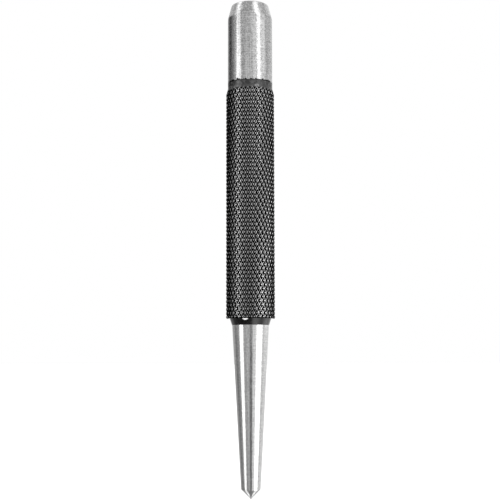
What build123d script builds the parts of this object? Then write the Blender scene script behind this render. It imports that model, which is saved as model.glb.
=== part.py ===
"""Center punch: a round bar of hardened steel with a knurled grip and a tapered, pointed shank.

The punch stands in its working pose, point down. +Z runs along its axis, from the point to the
struck end, and the origin is the very tip of the point. All sizes are in millimetres.

The real punch is turned from one bar. Each of its zones has its own shape and finish, and is a
closed solid of its own here, which meets the next zone on a flat cross-section of the bar.
"""
from build123d import *
from math import radians, tan
import os

# Driving dimensions, from the top of the punch down. Heights are measured from the tip.
OVERALL_LENGTH = 104.7          # about 4 1/8 in
BAR_DIAMETER = 9.525            # 3/8 in bar, left at full size on the head and the neck

FACE_RIM_DIAMETER = 7.9         # the struck face, inside the head's chamfer
FACE_CROWN = 0.37               # the struck face rises this much from its rim to its middle
FACE_RIM_ROUNDING = 0.35
CHAMFER_BOTTOM_HEIGHT = 101.4   # above this the head's side leans in to the struck face
CHAMFER_ROUNDING = 2.0
HEAD_BOTTOM_HEIGHT = 87.0       # the bright head ends here, and the black neck begins

GRIP_DIAMETER = 10.27           # over the knurl's crests, which are rolled up above the bar
GRIP_TOP_HEIGHT = 86.0
GRIP_RUN_OUT = 1.2              # the knurl fades out over this length, up into the neck
GRIP_BOTTOM_HEIGHT = 37.0
GRIP_BOTTOM_BEVEL = 0.15        # the knurl's lower end is cut off almost square

COLLAR_TOP_DIAMETER = 8.65
COLLAR_BOTTOM_DIAMETER = 7.8    # stands just proud of the ground shank
COLLAR_BOTTOM_HEIGHT = 35.7

SHANK_TOP_DIAMETER = 7.7
POINT_DIAMETER = 4.05           # about 5/32 in, where the shank's taper ends
POINT_ANGLE = 90.0              # included angle, in degrees

BAR_RADIUS = BAR_DIAMETER / 2
GRIP_RADIUS = GRIP_DIAMETER / 2
POINT_RADIUS = POINT_DIAMETER / 2
POINT_LENGTH = POINT_RADIUS / tan(radians(POINT_ANGLE / 2))


def turned(*outline):
    """Spin a half section, given as corners of (radius, height), about the punch's axis."""
    corners = [(radius, 0, height) for radius, height in outline]
    return revolve(make_face(Polyline(*corners, close=True)), Axis.Z)


def level_edge(solid, height):
    """The round edge that lies level at a height on a turned solid."""
    boxes = [(edge, edge.bounding_box()) for edge in solid.edges()]
    return [edge for edge, box in boxes if abs(box.min.Z - height) + abs(box.max.Z - height) < 0.01]


def striking_head():
    """The bright ground head: a plain barrel, a long chamfer and a slightly crowned face."""
    face_rim_height = OVERALL_LENGTH - FACE_CROWN
    sides = Polyline(
        (0, 0, OVERALL_LENGTH),
        (0, 0, HEAD_BOTTOM_HEIGHT),
        (BAR_RADIUS, 0, HEAD_BOTTOM_HEIGHT),
        (BAR_RADIUS, 0, CHAMFER_BOTTOM_HEIGHT),
        (FACE_RIM_DIAMETER / 2, 0, face_rim_height),
    )
    crown = ThreePointArc(
        (FACE_RIM_DIAMETER / 2, 0, face_rim_height),
        (FACE_RIM_DIAMETER / 4, 0, OVERALL_LENGTH - FACE_CROWN / 4),
        (0, 0, OVERALL_LENGTH),
    )
    head = revolve(make_face(sides + crown), Axis.Z)
    head = fillet(level_edge(head, face_rim_height), FACE_RIM_ROUNDING)
    return fillet(level_edge(head, CHAMFER_BOTTOM_HEIGHT), CHAMFER_ROUNDING)


def black_neck():
    """The short smooth band of blackened bar between the head and the knurl."""
    return turned(
        (0, GRIP_TOP_HEIGHT),
        (BAR_RADIUS, GRIP_TOP_HEIGHT),
        (BAR_RADIUS, HEAD_BOTTOM_HEIGHT),
        (0, HEAD_BOTTOM_HEIGHT),
    )


def knurled_grip():
    """The finger grip, as the cylinder that touches all the crests of its diamond knurl."""
    return turned(
        (0, GRIP_BOTTOM_HEIGHT),
        (GRIP_RADIUS - GRIP_BOTTOM_BEVEL, GRIP_BOTTOM_HEIGHT),
        (GRIP_RADIUS, GRIP_BOTTOM_HEIGHT + GRIP_BOTTOM_BEVEL),
        (GRIP_RADIUS, GRIP_TOP_HEIGHT - GRIP_RUN_OUT),
        (BAR_RADIUS, GRIP_TOP_HEIGHT),
        (0, GRIP_TOP_HEIGHT),
    )


def grip_collar():
    """The blackened shoulder that steps in below the grip and leads down to the shank."""
    return turned(
        (0, COLLAR_BOTTOM_HEIGHT),
        (COLLAR_BOTTOM_DIAMETER / 2, COLLAR_BOTTOM_HEIGHT),
        (COLLAR_TOP_DIAMETER / 2, GRIP_BOTTOM_HEIGHT),
        (0, GRIP_BOTTOM_HEIGHT),
    )


def tapered_shank():
    """The long, slender ground taper."""
    return turned(
        (0, POINT_LENGTH),
        (POINT_RADIUS, POINT_LENGTH),
        (SHANK_TOP_DIAMETER / 2, COLLAR_BOTTOM_HEIGHT),
        (0, COLLAR_BOTTOM_HEIGHT),
    )


def point():
    """The short, steep cone that marks the work."""
    return turned((0, 0), (POINT_RADIUS, POINT_LENGTH), (0, POINT_LENGTH))


ZONES = [striking_head, black_neck, knurled_grip, grip_collar, tapered_shank, point]

os.makedirs("parts", exist_ok=True)
for zone in ZONES:
    export_step(zone(), f"parts/{zone.__name__}.step")
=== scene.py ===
"""Looks for the center punch: a true diamond knurl, ground steel, black oxide and a soft studio.

Everything is in metres, in the frame of the CAD model: the point's tip is at the origin and +Z
runs up the punch's axis. MM turns a size in millimetres into metres.
"""

from math import ceil, cos, floor, pi, radians, sin, tan

import bpy
import numpy as np
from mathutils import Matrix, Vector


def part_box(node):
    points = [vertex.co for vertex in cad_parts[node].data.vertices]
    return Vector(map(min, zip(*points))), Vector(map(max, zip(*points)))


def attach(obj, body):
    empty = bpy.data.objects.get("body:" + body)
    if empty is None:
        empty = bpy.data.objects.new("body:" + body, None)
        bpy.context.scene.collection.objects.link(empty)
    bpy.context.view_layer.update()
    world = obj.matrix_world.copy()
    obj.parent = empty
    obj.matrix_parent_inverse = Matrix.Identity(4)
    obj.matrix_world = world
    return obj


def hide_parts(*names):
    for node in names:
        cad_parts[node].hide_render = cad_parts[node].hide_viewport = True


MM = 0.001

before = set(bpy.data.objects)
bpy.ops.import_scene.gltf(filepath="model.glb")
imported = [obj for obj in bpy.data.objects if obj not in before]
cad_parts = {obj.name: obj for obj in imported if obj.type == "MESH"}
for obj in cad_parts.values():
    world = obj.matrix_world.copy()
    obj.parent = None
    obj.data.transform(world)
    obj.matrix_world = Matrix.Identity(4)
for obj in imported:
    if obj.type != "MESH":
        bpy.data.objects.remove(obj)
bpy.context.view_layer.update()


# ---------------------------------------------------------------- sizes, from the CAD zones

def zone(node):
    """(largest radius, lowest height, highest height) of a turned zone."""
    low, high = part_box(node)
    return high[0], low[2], high[2]


BAR_RADIUS, HEAD_BOTTOM, HEAD_TOP = zone("striking_head")
GRIP_RADIUS, GRIP_BOTTOM, GRIP_TOP = zone("knurled_grip")
COLLAR_RADIUS, COLLAR_BOTTOM, _ = zone("grip_collar")
SHANK_RADIUS, _, _ = zone("tapered_shank")
POINT_RADIUS, _, POINT_TOP = zone("point")

# Details that the zones' boxes don't give
FACE_RIM_RADIUS = 3.95 * MM
FACE_RIM_ROUNDING = 0.3 * MM
FACE_CROWN = 0.37 * MM          # the struck face rises this much from its rim to its middle
CHAMFER_HEIGHT = 2.93 * MM
CHAMFER_ROUNDING = 2.0 * MM
NECK_WAIST = 0.02 * MM          # the neck's radius is this much less halfway up it
NECK_WAIST_ROUNDING = 0.5 * MM
COLLAR_FOOT_RADIUS = 3.9 * MM
TURNED_EDGE = 0.04 * MM         # rounding of the edges at the collar's foot and the shank's top
GROUND_EDGE = 0.03 * MM         # rounding of the edges at the neck's top and the point's base
TIP_BLUNTING = 0.05 * MM        # the cone is blunter inside this width

# The knurl: two sets of grooves that cross, one steeper than the other
KNURL_STARTS = 32               # grooves of each set, counted round the grip
KNURL_ROW = 0.8308 * MM         # half a diamond's height
KNURL_SLANT = 0.147             # how far the diamonds' long axes lean, in half-diamonds per row
KNURL_DEPTH = 0.3 * MM
KNURL_CREST = 0.17              # half-width of a diamond's flat crest, in half-diamonds
KNURL_GROOVE = 0.08             # half-width of a groove's flat bottom, in half-diamonds
KNURL_START = (-0.333, 0.476)   # the pattern's u at the grip's lower end and v at its front
RUN_OUT = 1.2 * MM              # the knurl fades into the neck over this length
END_BEVEL = 0.15 * MM           # at the grip's lower end

AROUND = 256                    # steps round a turned piece


# ---------------------------------------------------------------- mesh helpers

def make_piece(name, vertices, faces, material, node):
    """A smooth mesh piece that stands for a CAD zone and takes its finish from a slot."""
    mesh = bpy.data.meshes.new(name)
    mesh.from_pydata(vertices, [], faces)
    mesh.validate()
    mesh.materials.append(material)
    mesh.shade_smooth()
    mesh.set_sharp_from_angle(angle=radians(35))
    piece = bpy.data.objects.new(name, mesh)
    bpy.context.scene.collection.objects.link(piece)
    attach(piece, "root")
    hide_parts(node)
    return piece


def rounded(corners, steps=6):
    """An outline of (radius, height) points from corners of (radius, height, rounding)."""
    points = []
    for index, (radius, height, rounding) in enumerate(corners):
        corner = np.array([radius, height])
        if rounding == 0:
            points.append(corner)
            continue
        before = np.array(corners[index - 1][:2]) - corner
        after = np.array(corners[index + 1][:2]) - corner
        before /= np.linalg.norm(before)
        after /= np.linalg.norm(after)
        half_angle = np.arccos(np.clip(before @ after, -1, 1)) / 2
        middle = before + after
        centre = corner + middle / np.linalg.norm(middle) * rounding / sin(half_angle)
        start = corner + before * rounding / tan(half_angle) - centre
        end = corner + after * rounding / tan(half_angle) - centre
        sweep = pi - 2 * half_angle
        for step in range(steps + 1):
            share = step / steps
            weights = np.array([sin((1 - share) * sweep), sin(share * sweep)]) / sin(sweep)
            points.append(centre + weights[0] * start + weights[1] * end)
    return points


def turned(name, outline, material, node):
    """A closed piece turned about Z from an outline that starts and ends on the axis."""
    angles = [2 * pi * step / AROUND for step in range(AROUND)]
    bottom, *rings, top = outline
    vertices = [(0, 0, bottom[1])]
    for radius, height in rings:
        vertices += [(radius * cos(angle), radius * sin(angle), height) for angle in angles]
    vertices.append((0, 0, top[1]))
    faces = []
    last = len(vertices) - 1
    last_ring = 1 + (len(rings) - 1) * AROUND
    for step in range(AROUND):
        following = (step + 1) % AROUND
        faces.append((0, 1 + following, 1 + step))
        for ring in range(len(rings) - 1):
            low = 1 + ring * AROUND
            high = low + AROUND
            faces.append((low + step, low + following, high + following, high + step))
        faces.append((last_ring + step, last_ring + following, last))
    return make_piece(name, vertices, faces, material, node)


# ---------------------------------------------------------------- pieces

def striking_head(material):
    """The ground head with its long chamfer and slightly crowned face."""
    def crown(radius):
        """The point of the crowned face's outline at a radius."""
        return radius, HEAD_TOP - FACE_CROWN * (radius / FACE_RIM_RADIUS) ** 2

    rim_height = HEAD_TOP - FACE_CROWN
    crown_start = FACE_RIM_RADIUS * 0.7
    crown_steps = 8
    outline = rounded([
        (0, HEAD_BOTTOM, 0),
        (BAR_RADIUS, HEAD_BOTTOM, 0),
        (BAR_RADIUS, rim_height - CHAMFER_HEIGHT, CHAMFER_ROUNDING),
        (FACE_RIM_RADIUS, rim_height, FACE_RIM_ROUNDING),
        (*crown(crown_start), 0),
    ])
    outline += [crown(crown_start * (1 - step / crown_steps))
                for step in range(1, crown_steps + 1)]
    return turned("striking_head_ground", outline, material, "striking_head")


def black_neck(material):
    """The smooth band of blackened bar above the knurl.

    It has a fine edge where the head's grinding stopped, and a very slight waist, because it
    swells towards the knurl, whose rolling pushed the steel up.
    """
    middle = (GRIP_TOP + HEAD_BOTTOM) / 2
    outline = rounded([
        (0, GRIP_TOP, 0),
        (BAR_RADIUS, GRIP_TOP, 0),
        (BAR_RADIUS - NECK_WAIST, middle, NECK_WAIST_ROUNDING),
        (BAR_RADIUS, HEAD_BOTTOM, GROUND_EDGE),
        (0, HEAD_BOTTOM, 0),
    ])
    return turned("black_neck_smooth", outline, material, "black_neck")


def grip_collar(material):
    """The blackened cone below the grip, with a fine turned edge at its foot."""
    outline = rounded([
        (0, COLLAR_BOTTOM, 0),
        (COLLAR_FOOT_RADIUS, COLLAR_BOTTOM, TURNED_EDGE),
        (COLLAR_RADIUS, GRIP_BOTTOM, 0),
        (0, GRIP_BOTTOM, 0),
    ])
    return turned("grip_collar_cone", outline, material, "grip_collar")


def tapered_shank(material):
    """The long ground taper."""
    outline = rounded([
        (0, POINT_TOP, 0),
        (POINT_RADIUS, POINT_TOP, 0),
        (SHANK_RADIUS, COLLAR_BOTTOM, TURNED_EDGE),
        (0, COLLAR_BOTTOM, 0),
    ])
    return turned("tapered_shank_ground", outline, material, "tapered_shank")


def point(material):
    """The steep cone, very slightly blunted at its tip."""
    outline = rounded([
        (0, TIP_BLUNTING / 3, 0),
        (TIP_BLUNTING / 2, TIP_BLUNTING / 2, 0),
        (POINT_RADIUS, POINT_TOP, GROUND_EDGE),
        (0, POINT_TOP, 0),
    ])
    return turned("point_cone", outline, material, "point")


def knurled_grip(material):
    """The diamond knurl as real geometry.

    u counts half-diamonds up the grip and v counts them round it, and a crest stands where both
    are whole numbers with an even sum. The mesh lines of u and v lie on the middles and edges of
    the crests, grooves and facets, so that every change of slope has an edge.
    """
    steps = np.array([0, KNURL_GROOVE, KNURL_CREST, 1 - KNURL_CREST, 1 - KNURL_GROOVE])
    splits = len(steps)
    start_up, start_round = KNURL_START
    end_up = start_up + (GRIP_TOP - GRIP_BOTTOM) / KNURL_ROW
    up = (np.arange(ceil(end_up))[:, None] + steps).ravel()
    first = np.searchsorted(up, start_up, "right")
    up = np.concatenate([[start_up], up[first:np.searchsorted(up, end_up)], [end_up]])
    round_grip = (np.arange(2 * KNURL_STARTS)[:, None] + steps).ravel()
    u, v = np.meshgrid(up, round_grip, indexing="ij")
    height = GRIP_BOTTOM + (u - start_up) * KNURL_ROW
    angle = (v - start_round + KNURL_SLANT * u) * pi / KNURL_STARTS - pi / 2

    ridge_sum = np.abs((u + v) - 2 * np.round((u + v) / 2))
    ridge_difference = np.abs((u - v) - 2 * np.round((u - v) / 2))
    fall = np.interp(np.maximum(ridge_sum, ridge_difference),
                     [KNURL_CREST, 1 - KNURL_GROOVE], [0, 1])
    radius = GRIP_RADIUS - KNURL_DEPTH * fall
    top_limit = BAR_RADIUS + (GRIP_TOP - height) * (GRIP_RADIUS - BAR_RADIUS) / RUN_OUT
    bottom_limit = GRIP_RADIUS - END_BEVEL + (height - GRIP_BOTTOM)
    radius = np.minimum(radius, np.minimum(top_limit, bottom_limit))
    vertices = np.stack([radius * np.cos(angle), radius * np.sin(angle), height], axis=-1)
    vertices = vertices.reshape(-1, 3).tolist()

    rows, columns = len(up), len(round_grip)
    faces = []
    for row in range(rows - 1):
        for column in range(columns):
            following = (column + 1) % columns
            a = row * columns + column
            b = row * columns + following
            c = b + columns
            d = a + columns
            crest_at_a = (floor((up[row] + up[row + 1]) / 2) + column // splits) % 2 == 0
            faces += [(a, b, d), (b, c, d)] if crest_at_a else [(a, b, c), (a, c, d)]
    bottom_ring = list(range(columns))
    top_ring = [(rows - 1) * columns + column for column in range(columns)]
    faces += [tuple(reversed(bottom_ring)), tuple(top_ring)]
    return make_piece("knurled_grip_diamonds", vertices, faces, material,
                      "knurled_grip")


# ---------------------------------------------------------------- materials

class Graph:
    """A short way to write a node tree: each call adds a node and returns its main output."""

    def __init__(self, owner):
        """Starts on a material or a world. A world has no shader to set."""
        owner.use_nodes = True
        self.tree = owner.node_tree
        self.shader = self.tree.nodes.get("Principled BSDF")

    def add(self, kind, inputs, output=0, **settings):
        """Adds a node with its settings, and sets or links each of its inputs."""
        made = self.tree.nodes.new(kind)
        for name, value in settings.items():
            setattr(made, name, value)
        for key, value in inputs.items():
            self.feed(made.inputs[key], value)
        return made.outputs[output]

    def feed(self, socket, value):
        """Links a socket to an output, or sets it to a plain value."""
        if isinstance(value, bpy.types.NodeSocket):
            self.tree.links.new(value, socket)
        else:
            socket.default_value = value

    def math(self, operation, *values):
        """A Math node of that operation."""
        return self.add("ShaderNodeMath", dict(enumerate(values)), operation=operation)

    def ramp(self, value, low, high, to_low=0.0, to_high=1.0, smooth=True):
        """value mapped from low..high to to_low..to_high, clamped."""
        kind = "SMOOTHSTEP" if smooth else "LINEAR"
        names = ["Value", "From Min", "From Max", "To Min", "To Max"]
        inputs = dict(zip(names, [value, low, high, to_low, to_high]))
        return self.add("ShaderNodeMapRange", inputs, interpolation_type=kind)

    def blend(self, share, low, high):
        """A colour between low and high."""
        # A Mix node's colours go in at 6 and 7 and come out at 2
        made = self.tree.nodes.new("ShaderNodeMix")
        made.data_type = "RGBA"
        self.feed(made.inputs["Factor"], share)
        self.feed(made.inputs[6], low)
        self.feed(made.inputs[7], high)
        return made.outputs[2]

    def position_mm(self, stretch=(1, 1, 1)):
        """The place on the punch in millimetres, with each axis stretched."""
        place = self.add("ShaderNodeTexCoord", {}, output="Object")
        scale = [1000 * factor for factor in stretch]
        return self.add("ShaderNodeMapping", {"Vector": place, "Scale": scale})

    def noise(self, place, scale, detail=2.0, roughness=0.5):
        """Soft noise from 0 to 1, with a scale in features per millimetre."""
        inputs = {"Vector": place, "Scale": scale, "Detail": detail, "Roughness": roughness}
        return self.add("ShaderNodeTexNoise", inputs)

    def height_mm(self, place):
        """How high a place in millimetres is on the punch."""
        return self.add("ShaderNodeSeparateXYZ", {0: place}, output="Z")

    def bump(self, height, distance):
        """A bump from a height of 0 to 1, where 1 stands distance metres proud."""
        inputs = {"Height": height, "Distance": distance, "Strength": 1.0}
        return self.add("ShaderNodeBump", inputs)

    def set(self, **inputs):
        """Sets or links the shader's own sockets."""
        for name, value in inputs.items():
            self.feed(self.shader.inputs[name.replace("_", " ")], value)


def grey(value):
    """A neutral colour."""
    return (value, value, value, 1.0)


# The ragged edge of black oxide that grinding left round the head's foot, in mm
RAGGED_REACH = 1.2              # how much higher it lies where its noise is 1 than where it is 0
RAGGED_DROP = 0.4               # how far below the head's foot it lies where its noise is 0
RAGGED_FADE = 0.15

# A painted highlight: a small white area on the collar that stands in for a glint, in mm
PAINTED_GLINT_MIDDLE = (-1.1, -4.1, 36.95)
PAINTED_GLINT_FADE = (0.4, 0.7)          # how far to its sides the spot starts and ends to fade
PAINTED_GLINT_FLATNESS = 2               # it is this many times as wide as it is high

# Where the knurl's worn crests, black flanks and painted groove highlights fade into each other,
# in mm
CREST_FADE = 0.025              # either side of the crests' radius
GROOVE_HIGHLIGHT_FADE = (0.005, 0.03)     # above the bottoms of the grooves
PLAIN_FADE = (0.7, 0.5)         # below the top of the grip, where it turns plain black


def ground_steel(name, tone, roughness, mottle, relief, black_below=None):
    """Ground steel: grain, rings left by the wheel and a few lengthwise streaks.

    mottle is how far the tone strays as a share of itself, and relief is the bump's height.
    Black oxide is left in a ragged edge just above the height black_below, where one is given.
    """
    material = bpy.data.materials.new(name)
    graph = Graph(material)
    place = graph.position_mm()
    grain = graph.noise(place, scale=3.0, detail=3.0, roughness=0.6)
    rings = graph.noise(graph.position_mm((0.3, 0.3, 9.0)), scale=1.0, detail=3.0)
    streaks = graph.noise(graph.position_mm((5.0, 5.0, 0.1)), scale=1.0)

    # Streaks, rings and grain are mixed in shares that add up to 1
    mixed = graph.math("MULTIPLY_ADD", rings, 0.25, graph.math("MULTIPLY", streaks, 0.3))
    mixed = graph.math("MULTIPLY_ADD", grain, 0.45, mixed)
    dullest, brightest = 0.4, 0.6
    color = graph.blend(graph.ramp(mixed, dullest, brightest),
                        grey(tone * (1 - mottle)), grey(tone * (1 + mottle)))
    if black_below is not None:
        ticks = graph.noise(graph.position_mm((1.0, 1.0, 0.25)), scale=2.5, detail=1.0)
        edge = graph.math("MULTIPLY_ADD", ticks, -RAGGED_REACH, graph.height_mm(place))
        start = black_below / MM - RAGGED_DROP
        color = graph.blend(graph.ramp(edge, start, start + RAGGED_FADE), grey(0.02), color)
    tangent = graph.add("ShaderNodeTangent", {}, direction_type="RADIAL", axis="Z")
    graph.set(
        Base_Color=color,
        Metallic=1.0,
        Roughness=graph.ramp(mixed, dullest, brightest, roughness * 0.9, roughness * 1.12),
        Anisotropic=0.4,
        Anisotropic_Rotation=0.25,
        Tangent=tangent,
        Normal=graph.bump(graph.math("ADD", rings, grain), relief),
    )
    return material


def black_oxide(name, worn_and_shade_tone, roughness):
    """Blackened steel: dark and satin, with patches rubbed lighter and one small painted
    highlight on the collar.
    """
    material = bpy.data.materials.new(name)
    graph = Graph(material)
    place = graph.position_mm()
    patches = graph.noise(place, scale=1.3, detail=4.0, roughness=0.65)
    fine = graph.noise(place, scale=7.0)
    # A white, non-metallic area on the collar: a painted glint
    x, y, z = PAINTED_GLINT_MIDDLE
    stretched = graph.position_mm((1, 1, PAINTED_GLINT_FLATNESS))
    from_painted_glint = graph.add("ShaderNodeVectorMath", {0: stretched, 1: (x, y, z * PAINTED_GLINT_FLATNESS)},
                          output="Value", operation="DISTANCE")
    painted_glint = graph.ramp(from_painted_glint, *PAINTED_GLINT_FADE, 1.0, 0.0)
    # The patches' lightest tone; the collar's is set low as painted shade
    worn = graph.blend(graph.ramp(patches, 0.45, 0.65), grey(0.003), grey(worn_and_shade_tone))
    graph.set(
        Base_Color=graph.blend(painted_glint, worn, grey(0.9)),
        Metallic=0.0,
        IOR=1.7,
        Roughness=graph.ramp(fine, 0.3, 0.7, roughness * 0.8, roughness * 1.2),
        Normal=graph.bump(fine, 0.002 * MM),
    )
    return material


def black_knurl(name):
    """Black oxide flanks, darkened past the plain oxide as painted shade, between bright worn
    crests and groove bottoms brightened as a painted highlight.

    Above the last diamonds, where the grip runs out into the neck, it is plain black oxide.
    """
    material = bpy.data.materials.new(name)
    graph = Graph(material)
    place = graph.position_mm()
    across = graph.add("ShaderNodeVectorMath", {0: place, 1: (1, 1, 0)}, operation="MULTIPLY")
    radius = graph.add("ShaderNodeVectorMath", {0: across}, output="Value", operation="LENGTH")
    patches = graph.noise(place, scale=0.8, detail=3.0, roughness=0.6)
    uneven = graph.math("MULTIPLY_ADD", patches, 2 * CREST_FADE, radius)
    crest_mm = GRIP_RADIUS / MM
    groove_mm = crest_mm - KNURL_DEPTH / MM
    plain_start, plain_end = [GRIP_TOP / MM - below for below in PLAIN_FADE]
    groove_highlight_start, groove_highlight_end = [groove_mm + above for above in GROOVE_HIGHLIGHT_FADE]
    crest = graph.ramp(uneven, crest_mm - CREST_FADE, crest_mm + CREST_FADE)
    plain = graph.ramp(graph.height_mm(place), plain_start, plain_end)
    knurled = graph.math("SUBTRACT", 1.0, plain)
    # The groove bottoms get the worn crests' bright colour: a painted highlight
    groove = graph.ramp(radius, groove_highlight_start, groove_highlight_end, knurled, 0.0)
    bright = graph.math("MAXIMUM", crest, groove)
    # The knurled flanks are far darker than the plain oxide of the run-out: black oxide with
    # painted shade
    black = graph.blend(plain, grey(0.002), grey(0.13))
    graph.set(
        Base_Color=graph.blend(bright, black, grey(0.64)),
        Metallic=1.0,
        Roughness=0.1,
        Normal=graph.bump(graph.noise(place, scale=8.0), 0.002 * MM),
    )
    return material


# ---------------------------------------------------------------- studio

# The walls that the steel reflects, one list for each band of heights, from the floor up. Each
# stop is (degrees, brightness): 0 degrees is behind the camera, 90 is to the camera's right, -90
# is to its left and 180 is behind the punch, and a brightness of 1 is the white background's.
FLOOR_WALLS = [(-180, 0.4), (-160, 0.4), (-152, 1.9), (-122, 1.9), (-112, 0.4), (112, 0.4),
               (122, 1.9), (152, 1.9), (160, 0.4), (180, 0.4)]
LOW_WALLS = [(-180, 1.2), (-165, 0.9), (-152, 0.4), (-140, 0.4), (-128, 0.5), (-110, 0.1),
             (-30, 0.03), (6, 0.05), (15, 0.9), (25, 1.4), (45, 1.2), (62, 0.5), (78, 0.5),
             (90, 1.0), (105, 1.6), (125, 1.2), (140, 0.5), (152, 0.4), (165, 0.9), (180, 1.2)]
TABLE_WALLS = [(-180, 1.0), (-165, 0.7), (-146, 0.35), (-130, 0.6), (-116, 0.15), (-104, 0.2),
               (-92, 0.34), (-45, 0.45), (-30, 0.4), (-17, 0.75), (-4, 0.2), (1, 0.0), (7, 0.0),
               (14, 0.85), (24, 0.95), (30, 0.8), (40, 1.0), (75, 1.0), (86, 0.95), (94, 0.45),
               (102, 0.95), (145, 0.8), (160, 1.0), (180, 1.0)]
GRIP_WALLS = [(-180, 1.0), (-160, 0.9), (-143, 0.7), (-125, 0.6), (-92, 0.55), (-45, 0.5),
              (-20, 0.7), (0, 0.7), (17, 0.6), (30, 0.4), (60, 0.4), (80, 0.9), (100, 1.6),
              (115, 2.0), (130, 2.0), (145, 1.2), (180, 1.0)]
EYE_WALLS = [(-180, 1.0), (-160, 0.6), (-143, 0.25), (-130, 0.0), (-114, 0.0), (-106, 0.2),
             (-92, 0.3), (-45, 0.45), (-35, 0.42), (-17, 0.78), (0, 0.6), (17, 0.86), (30, 0.92),
             (60, 1.0), (80, 1.0), (89, 0.5), (97, 0.44), (110, 0.62), (145, 0.6),
             (160, 1.0), (180, 1.0)]
HIGH_WALLS = [(-180, 1.0), (-130, 0.6), (-98, 0.5), (-86, 1.3), (-62, 1.3), (-52, 0.4),
              (-30, 0.5), (0, 0.6), (28, 0.8), (36, 2.2), (50, 2.2), (60, 0.8), (80, 0.5),
              (110, 0.6), (130, 1.0), (180, 1.0)]
TOP_WALLS = [(-180, 1.0), (-150, 0.7), (-120, 0.6), (-100, 0.5), (-90, 2.3), (-76, 2.3),
             (-66, 0.45), (-45, 0.5), (0, 0.6), (26, 0.7), (36, 2.6), (48, 2.6), (58, 0.8),
             (74, 0.6), (88, 0.8), (110, 0.5), (130, 0.7), (180, 1.0)]

# Each band fades in over the one below it, between two heights in degrees: (start, end, walls)
WALL_BANDS = [
    (-71, -66, FLOOR_WALLS),    # the camera sees these in the point
    (-57, -52, LOW_WALLS),      # in the collar and the point's edges
    (-22, -15, TABLE_WALLS),    # in the shank
    (4, 6, GRIP_WALLS),         # in the crests of the knurl
    (9, 11, EYE_WALLS),         # in the neck and the head's barrel
    (23, 30, HIGH_WALLS),       # in the rounding below the chamfer
    (40, 46, TOP_WALLS),        # in the chamfer
]
SHADOW_BRIGHTNESS = 0.25        # below all the walls
BRIGHTEST = 4.0                 # colour ramps stop at 1, so they hold shares of this brightness
CEILING_HEIGHTS = (60, 80)      # the walls darken into the ceiling between these, in degrees
CEILING_SHARE = 0.3             # the ceiling's brightness, as a share of the top walls'

SOFTBOX_DISTANCE = 0.6          # in metres from the punch's axis

# The camera, in the punch's frame
CAMERA_PLACE = (-0.09 * MM, -209.5 * MM, 29.46 * MM)
CAMERA_TILT = 6.0               # degrees above level
CAMERA_ROLL = -0.11             # degrees
CAMERA_LENS = 72.0              # in mm
CAMERA_SENSOR = 36.0            # width in mm


def softbox(name, azimuth, width, low, high, radiance):
    """A tall rectangular light that faces the punch.

    azimuth is in degrees, from the camera's side round to the right; width, low and high are
    the angles it fills, in degrees, as seen from the punch. radiance sets how bright it looks,
    whatever its size.
    """
    bottom = SOFTBOX_DISTANCE * tan(radians(low))
    top = SOFTBOX_DISTANCE * tan(radians(high))
    light = bpy.data.lights.new(name, "AREA")
    light.shape = "RECTANGLE"
    light.size = 2 * SOFTBOX_DISTANCE * tan(radians(width / 2))
    light.size_y = top - bottom
    light.energy = radiance * pi * light.size * light.size_y
    lamp = bpy.data.objects.new(name, light)
    turn = radians(azimuth)
    middle = HEAD_TOP / 2 + (top + bottom) / 2
    lamp.location = (SOFTBOX_DISTANCE * sin(turn), -SOFTBOX_DISTANCE * cos(turn), middle)
    lamp.rotation_euler = (pi / 2, 0, turn)
    lamp.visible_camera = False
    bpy.context.scene.collection.objects.link(lamp)


def wall_band(graph, azimuth, stops):
    """The brightness of one band of walls, as a share of BRIGHTEST."""
    share = graph.ramp(azimuth, -pi, pi, smooth=False)
    made = graph.tree.nodes.new("ShaderNodeValToRGB")
    made.color_ramp.interpolation = "B_SPLINE"
    elements = made.color_ramp.elements
    while len(elements) < len(stops):
        elements.new(0.5)           # its place is set below
    for element, (degrees, value) in zip(elements, stops):
        element.position = (degrees + 180) / 360
        element.color = grey(value / BRIGHTEST)
    graph.feed(made.inputs[0], share)
    return made.outputs[0]


def studio_walls():
    """White behind the punch for the camera, and grey walls round it for its reflections."""
    world = bpy.data.worlds.new("studio")
    bpy.context.scene.world = world
    graph = Graph(world)
    direction = graph.add("ShaderNodeTexCoord", {}, output="Generated")
    split = graph.add("ShaderNodeSeparateXYZ", {0: direction}, output="X").node
    x, y, z = split.outputs
    azimuth = graph.math("ARCTAN2", x, graph.math("MULTIPLY", y, -1.0))

    walls = grey(SHADOW_BRIGHTNESS / BRIGHTEST)
    for start, end, stops in WALL_BANDS:
        share = graph.ramp(z, sin(radians(start)), sin(radians(end)))
        walls = graph.blend(share, walls, wall_band(graph, azimuth, stops))
    ceiling_start, ceiling_end = [sin(radians(height)) for height in CEILING_HEIGHTS]
    strength = graph.ramp(z, ceiling_start, ceiling_end, BRIGHTEST, CEILING_SHARE * BRIGHTEST)

    reflected = graph.add("ShaderNodeBackground", {"Color": walls, "Strength": strength})
    seen = graph.add("ShaderNodeBackground", {"Color": grey(1.0)})
    camera_ray = graph.add("ShaderNodeLightPath", {}, output="Is Camera Ray")
    either = graph.add("ShaderNodeMixShader", {0: camera_ray, 1: reflected, 2: seen})
    graph.feed(graph.tree.nodes["World Output"].inputs["Surface"], either)


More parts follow.
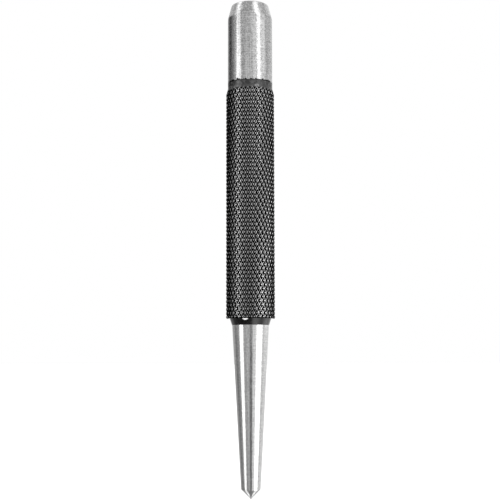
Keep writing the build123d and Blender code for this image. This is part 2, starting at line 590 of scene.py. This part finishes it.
def pale_floor():
    """A plain white floor under the point. It isn't part of the punch.

    The steel reflects the studio's walls instead of it, so it is hidden from reflections.
    """
    reach = 3.0
    corners = [(-reach, -reach, 0), (reach, -reach, 0), (reach, reach, 0), (-reach, reach, 0)]
    mesh = bpy.data.meshes.new("floor")
    mesh.from_pydata(corners, [], [(0, 1, 2, 3)])
    material = bpy.data.materials.new("floor_white")
    graph = Graph(material)
    graph.set(Base_Color=(0.9, 0.9, 0.9, 1), Roughness=1.0, Emission_Color=(1, 1, 1, 1),
              Emission_Strength=0.6)
    mesh.materials.append(material)
    floor = bpy.data.objects.new("floor", mesh)
    floor.visible_glossy = False
    floor.visible_shadow = False
    bpy.context.scene.collection.objects.link(floor)


def camera():
    """A short telephoto at the height of the shank, tilted a little up."""
    data = bpy.data.cameras.new("camera")
    data.sensor_width = CAMERA_SENSOR
    data.lens = CAMERA_LENS
    eye = bpy.data.objects.new("camera", data)
    eye.location = CAMERA_PLACE
    eye.rotation_euler = (radians(90 + CAMERA_TILT), 0, 0)
    eye.rotation_euler.rotate_axis("Z", radians(CAMERA_ROLL))
    bpy.context.scene.collection.objects.link(eye)
    bpy.context.scene.camera = eye


# ---------------------------------------------------------------- the scene

head_steel = ground_steel("ground_steel_head", tone=0.6, roughness=0.25, mottle=0.34,
                          relief=0.0015 * MM, black_below=HEAD_BOTTOM)
shank_steel = ground_steel("ground_steel_shank", tone=0.66, roughness=0.21, mottle=0.15,
                           relief=0.0008 * MM)
neck_oxide = black_oxide("black_oxide_neck", worn_and_shade_tone=0.05, roughness=0.3)
# The collar's oxide is kept darker than the neck's: painted shade on the down-facing cone
collar_oxide_painted_shade = black_oxide("black_oxide_collar_painted_shade", worn_and_shade_tone=0.01, roughness=0.13)

striking_head(head_steel)
black_neck(neck_oxide)
knurled_grip(black_knurl("black_knurl"))
grip_collar(collar_oxide_painted_shade)
tapered_shank(shank_steel)
point(shank_steel)

pale_floor()
studio_walls()
# The softboxes on the right leave a gap at the heights that the knurl's crests reflect
softbox("softbox_left", azimuth=-62, width=24, low=-20, high=24, radiance=1.8)
softbox("softbox_right_top", azimuth=46, width=13, low=12, high=24, radiance=1.9)
softbox("softbox_right", azimuth=46, width=13, low=-20, high=1, radiance=1.9)
softbox("softbox_right_low", azimuth=62, width=32, low=-24, high=6, radiance=1.7)
camera()
bpy.context.scene.view_settings.view_transform = "Standard"
